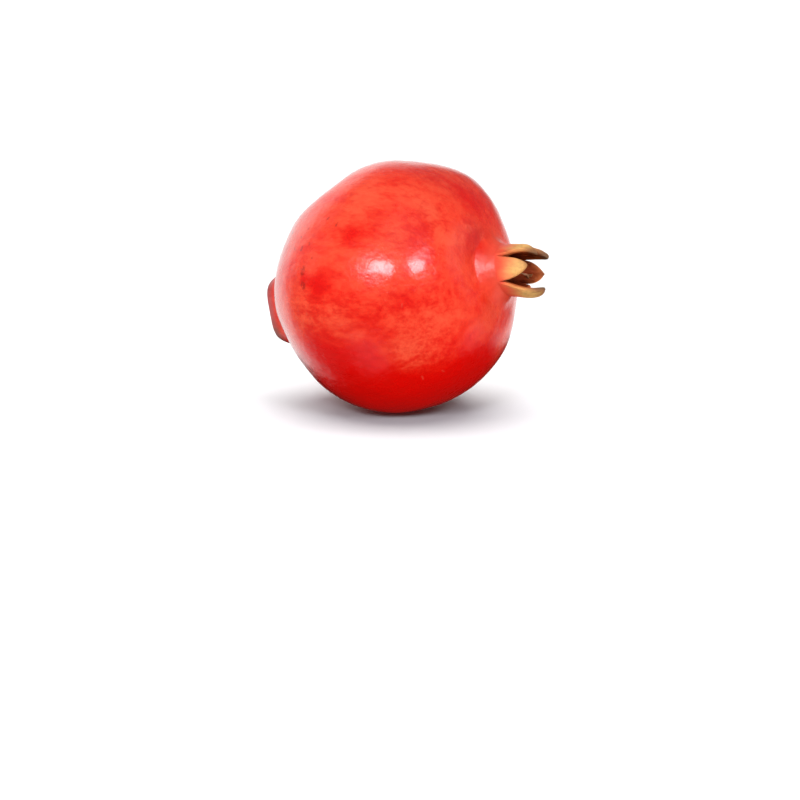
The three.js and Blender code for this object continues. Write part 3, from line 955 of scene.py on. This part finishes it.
def makeRindMaterial():
    look = rindLook
    material, tree, shader = startMaterial("pomegranateSkin", look["shader"])

    def masked(name, value):
        return span(tree, value, *look["spans"][name])

    def part(name, value):
        return times(tree, value, look["shares"][name])

    def laid(mask, under, name):
        return mixed(tree, mask, under, look[name])

    place, along = fruitCoordinates(tree, look["grain"])
    broad, middle, fine = [mottled(tree, along, *values) for values in look["mottles"]]
    pores = useGroup(tree, poreGroup, Vector=place, **look["pores"])["Mask"]
    withered = useGroup(tree, witherGroup, Vector=along, **look["wrinkles"])
    neck, reach, edge, inside, knob, cut, blush, pale = [mark(tree, name) for name in markNames]

    # skin, calmer where it blushes and where the lower flank's painted shade lies
    start, shares = look["cloud"]
    cloud = weighted(tree, start, (broad, middle, fine), shares)
    cloud = times(tree, cloud, masked("calmBlushAndShade", blush))
    paler = mathNode(tree, "SUBTRACT", pale, cloud)
    paler = weighted(tree, paler, [blush], [look["blushOnPale"]])
    colour = laid(masked("salmon", paler), look["brightRed"], "salmon")
    colour = laid(part("pores", pores), colour, "salmon")
    # deepRed where the mottling, the blush and the lower flank's painted shade lead
    deeper = mathNode(tree, "ADD", blush, cloud)
    colour = laid(masked("deepRed", deeper), colour, "deepRed")
    colour = laid(times(tree, fine, part("dull", middle)), colour, "dullRed")

    # scars and nicks, with edges made ragged by noise
    wobble = noiseNode(tree, place, *look["wobble"])
    shift = vectorNode(tree, "SUBTRACT", {0: wobble["Color"], 1: (0.5, 0.5, 0.5)})
    ragged = vectorNode(tree, "MULTIPLY_ADD", {0: shift, 1: [look["wobbleWidth"]] * 3, 2: place})
    scars = strokeMask(tree, ragged, scarStrokes)
    scars = times(tree, scars, masked("scars", wobble["Fac"]))
    colour = laid(part("scars", scars), colour, "speckBrown")
    colour = laid(part("nicks", strokeMask(tree, ragged, nickStrokes)), colour, "neckPink")

    # neck and lobes, their colours shifted a little by the mottling
    colour = laid(masked("neckPink", neck), colour, "neckPink")
    uneven = mathNode(tree, "SUBTRACT", middle, 0.5)
    loose = weighted(tree, reach, [uneven], [masked("unevenLobe", reach)])
    for name in ("lobeOrange", "lobeTan", "tipBrown"):
        colour = laid(masked(name, loose), colour, name)
    wrinkled = times(tree, withered["Mask"], masked("lobeWrinkles", reach))
    colour = laid(wrinkled, colour, "tipBrown")
    rimShare = times(tree, edge, masked("rim", reach))
    tipShare = times(tree, edge, masked("edgeGrey", reach))
    colour = laid(part("rim", rimShare), colour, "rimBrown")
    colour = laid(tipShare, colour, "edgeGrey")

    # lining of the cup
    lining = laid(masked("liningTip", loose), look["liningDeep"], "liningTip")
    lining = laid(part("liningWrinkles", withered["Mask"]), lining, "liningDeep")
    lining = laid(part("liningRim", rimShare), lining, "rimBrown")
    lining = laid(masked("liningGrey", loose), lining, "edgeGrey")
    lining = laid(tipShare, lining, "edgeGrey")
    colour = mixed(tree, inside, colour, lining)

    # stalk end: red above, pinkish below and brown at its lower end
    height = addNode(tree, "ShaderNodeSeparateXYZ", {"Vector": along}).outputs["Z"]
    height = weighted(tree, height, [middle], [look["knobWaver"]])
    knobColour = look["knobRed"]
    for name in ("knobPink", "knobBrown"):
        knobColour = laid(masked(name, height), knobColour, name)
    colour = mixed(tree, masked("knob", knob), colour, knobColour)
    colour = laid(cut, colour, "cutWood")
    tree.links.new(colour, shader["Base Color"])

    # gloss: waxy on the body, dry on the lobes, in the cup and on the knob
    dry = mathNode(tree, "MAXIMUM", inside, knob)
    dry = mathNode(tree, "MAXIMUM", masked("dryLobe", reach), dry)
    start, shares = look["roughness"]
    tree.links.new(weighted(tree, start, (middle, dry, neck), shares), shader["Roughness"])
    coat = weighted(tree, masked("waxyNeck", neck), [dry], [look["drynessOnCoat"]])
    tree.links.new(mathNode(tree, "MAXIMUM", coat, 0.0), shader["Coat Weight"])
    start, shares = look["refraction"]
    tree.links.new(weighted(tree, start, (neck, knob), shares), shader["IOR"])

    # relief: peel, sunk pores, and wrinkles where it is dry
    peel = noiseNode(tree, place, *look["peel"])
    normal = bumped(tree, peel["Fac"], look["peelDepth"])
    normal = bumped(tree, times(tree, pores, -1.0), look["poreDepth"], under=normal)
    wrinkles = times(tree, withered["Height"], dry)
    normal = bumped(tree, wrinkles, look["wrinkleDepth"], look["wrinkleStrength"], normal)
    tree.links.new(normal, shader["Normal"])
    return material


rind.data.materials.append(makeRindMaterial())


tuftLook = {
    "roughness": 0.85,
    "materials": {  # light colour, dark colour, scale of the patches
        "stamenThread": (paint(236, 172, 132), paint(150, 88, 56), 500.0),
        "driedAnther": (paint(180, 120, 70), paint(112, 58, 30), 900.0),
        "feltedMat": (paint(110, 66, 38), paint(150, 88, 56), 1100.0),
    },
    "patches": (0.3, 0.35, 0.65),  # warp, low, high
    "wrinkleScale": 1.5,  # times the patches' scale
    "wrinkleContrast": 0.6,
    "wrinkleDepth": 0.0003,
    "order": ("stamenThread", "driedAnther", "stamenThread", "feltedMat"),
}


def makeTuftMaterial(name, light, dark, scale):
    look = tuftLook
    material, tree, shader = startMaterial(name, {"Roughness": look["roughness"]})
    place = addNode(tree, "ShaderNodeTexCoord").outputs["Object"]
    patches = mottled(tree, place, scale, *look["patches"])
    feeds = {"Scale": scale * look["wrinkleScale"], "Contrast": look["wrinkleContrast"]}
    withered = useGroup(tree, witherGroup, Vector=place, **feeds)
    colour = mixed(tree, patches, light, dark)
    colour = mixed(tree, withered["Mask"], colour, dark)
    tree.links.new(colour, shader["Base Color"])
    tree.links.new(bumped(tree, withered["Height"], look["wrinkleDepth"]), shader["Normal"])
    return material


tuftMaterials = {
    name: makeTuftMaterial(name, *values) for name, values in tuftLook["materials"].items()
}
for piece, name in zip(tuftPieces, tuftLook["order"]):
    piece.data.materials.append(tuftMaterials[name])
print("materials made")


floorLook = {
    "size": 40.0,
    "shader": {
        "Base Color": (0.9, 0.9, 0.9, 1.0),
        "Roughness": 0.9,
        "Specular IOR Level": 0.1,
    },
    "lampAngle": 70,
    "lampStrength": 3.2,
}


def makeFloor():
    half = floorLook["size"] / 2
    mesh = bpy.data.meshes.new("floor")
    corners = [(-half, -half, 0), (half, -half, 0), (half, half, 0), (-half, half, 0)]
    mesh.from_pydata(corners, [], [(0, 1, 2, 3)])
    floor = addObject("floor", mesh)
    floor.data.materials.append(startMaterial("paleFloor", floorLook["shader"])[0])
    floor.visible_glossy = False
    floor.visible_diffuse = False
    return floor


def backwards(azimuth, elevation):
    # from the fruit out to a camera or lamp: azimuth 0 is -y and 90 is +x
    a, e = azimuth * deg, elevation * deg
    return Vector((math.sin(a) * math.cos(e), -math.cos(a) * math.cos(e), math.sin(e)))


def aim(piece, heading):
    # the piece's own z axis points back along the heading
    piece.rotation_mode = "QUATERNION"
    piece.rotation_quaternion = heading.to_track_quat("Z", "Y")


cameraView = {
    "lens": 85,
    "sensor": 36,
    "imageSize": 800,
    "azimuth": 27,
    "elevation": 9,
    "bodyAt": (397, 289.3),  # where the body's centre shows in the image
    "distance": 0.6739,
    "clip": (0.01, 100),
}


def makeCamera():
    # turned off the body's centre by atan(offset / focal length), both in the image
    view = cameraView
    focal = view["imageSize"] * view["lens"] / view["sensor"]
    middle = view["imageSize"] / 2
    aside = math.atan((view["bodyAt"][0] - middle) / focal) / deg
    above = math.atan((middle - view["bodyAt"][1]) / focal) / deg
    data = bpy.data.cameras.new("camera")
    data.lens = view["lens"]
    data.sensor_width = view["sensor"]
    data.clip_start, data.clip_end = view["clip"]
    camera = addObject("camera", data)
    centre = Vector(lie["bodyCentre"]) * mm
    camera.location = centre + backwards(view["azimuth"], view["elevation"]) * view["distance"]
    aim(camera, backwards(view["azimuth"] + aside, view["elevation"] + above))
    scene.camera = camera


lampLook = {
    "distance": 1.3,
    "tint": (0.93, 0.91, 1.0),
    "lamps": [  # name, azimuth, elevation, width, height, watts, shows as a highlight
        ("leftSoftbox", 10, 28.8, 0.45, 0.29, 6.6, True),
        ("rightSoftbox", 53, 31, 0.26, 0.28, 3.6, True),
        ("rightGlow", 58, 39, 0.28, 0.3, 0.7, True),
        ("topFill", 44, 68, 0.8, 0.8, 3.3, False),
        ("leftFill", 285, 24, 0.6, 0.6, 4.8, False),
        ("frontFill", 358, 32, 0.6, 0.6, 6.7, False),
        ("rightFill", 118, 22, 0.6, 0.6, 3.8, False),
        ("lowRightFill", 112, -26, 0.6, 0.6, 11.4, False),
        ("lowLeftFill", 352, -48, 0.6, 0.6, 8.6, False),
    ],
}
skyLook = {  # pairs of degrees: where the wall's light starts and where it is full
    "wallAzimuth": 207,
    "leftEdge": (70, 46),
    "rightEdge": (72, 44),
    "topEdge": (52, 34),
    "slantedEdge": (46, 14),  # the top edge comes down to the right
    "bottomEdge": (-60, -42),
    "slope": (39, 27),  # its foot is hidden below lines that fall this steeply
    "slopeRight": 14,  # and more on the right
    "slopeFrom": -9,
    "backdrop": 1.1,
    "wall": 1.05,
    "rest": 0.12,
    "below": 0.01,
}


def collected(name, pieces):
    made = bpy.data.collections.new(name)
    for piece in pieces:
        made.objects.link(piece)
    return made


def makeFloorLamp(floor):
    # an even light from above that falls on the floor alone and keeps it white to its far edge
    data = bpy.data.lights.new("floorLamp", "SUN")
    data.angle = floorLook["lampAngle"] * deg
    data.energy = floorLook["lampStrength"]
    lamp = addObject("floorLamp", data)
    lamp.light_linking.receiver_collection = collected("litFloor", [floor])


def makeLamps():
    # the fills that don't show stand in for the room's light: they reach the fruit alone, the
    # floor doesn't stop them, and the fruit throws none of it back
    target = Vector(lie["bodyCentre"]) * mm
    fruitOnly = collected("litFruit", [rind, *tuftPieces])
    for name, azimuth, elevation, width, height, watts, shows in lampLook["lamps"]:
        data = bpy.data.lights.new(name, "AREA")
        data.shape = "RECTANGLE"
        data.size = width
        data.size_y = height
        data.energy = watts
        data.color = lampLook["tint"]
        lamp = addObject(name, data)
        lamp.visible_camera = False
        lamp.visible_glossy = shows
        if not shows:
            lamp.light_linking.receiver_collection = fruitOnly
            lamp.light_linking.blocker_collection = fruitOnly
            data.cycles.max_bounces = 0
        heading = backwards(azimuth, elevation)
        lamp.location = target + heading * lampLook["distance"]
        aim(lamp, heading)


def makeSky():
    # a white wall behind the fruit with soft edges, dimmer round the rest of the room, dark below,
    # by angles to the left of the wall's middle and above the horizon
    look = skyLook
    world = bpy.data.worlds.new("whiteRoom")
    world.use_nodes = True
    scene.world = world
    tree = world.node_tree
    background = tree.nodes["Background"].inputs
    direction = addNode(tree, "ShaderNodeTexCoord").outputs["Generated"]
    back, left = backwards(look["wallAzimuth"], 0), backwards(look["wallAzimuth"] + 90, 0)
    ahead = vectorNode(tree, "DOT_PRODUCT", {0: direction, 1: back}, "Value")
    aside = vectorNode(tree, "DOT_PRODUCT", {0: direction, 1: left}, "Value")
    aside = mathNode(tree, "ARCTAN2", aside, ahead)
    height = addNode(tree, "ShaderNodeSeparateXYZ", {"Vector": direction}).outputs["Z"]
    height = mathNode(tree, "ARCSINE", height)

    def edge(name, value):
        starts, fills = look[name]
        return span(tree, value, starts * deg, fills * deg)

    lit = times(tree, edge("leftEdge", aside), edge("topEdge", height))
    lit = times(tree, lit, edge("rightEdge", times(tree, aside, -1.0)))
    lit = times(tree, lit, edge("slantedEdge", mathNode(tree, "SUBTRACT", height, aside)))
    strength = weighted(tree, look["rest"], [lit], [look["wall"] - look["rest"]])
    depth = mathNode(tree, "SUBTRACT", look["slopeFrom"] * deg, height)
    fall = mathNode(tree, "ARCTAN2", depth, mathNode(tree, "ABSOLUTE", aside))
    onRight = mathNode(tree, "LESS_THAN", aside, 0.0)
    fall = weighted(tree, fall, [onRight], [look["slopeRight"] * deg])
    above = times(tree, edge("bottomEdge", height), edge("slope", fall))
    strength = mixed(tree, above, look["below"], strength, "FLOAT")
    seen = addNode(tree, "ShaderNodeLightPath").outputs["Is Camera Ray"]
    strength = mixed(tree, seen, strength, look["backdrop"], "FLOAT")
    tree.links.new(strength, background["Strength"])
    background["Color"].default_value = (1, 1, 1, 1)


makeFloorLamp(makeFloor())
makeCamera()
makeLamps()
makeSky()
scene.view_settings.view_transform = "Standard"
scene.view_settings.look = "None"
print("floor, camera and light made")
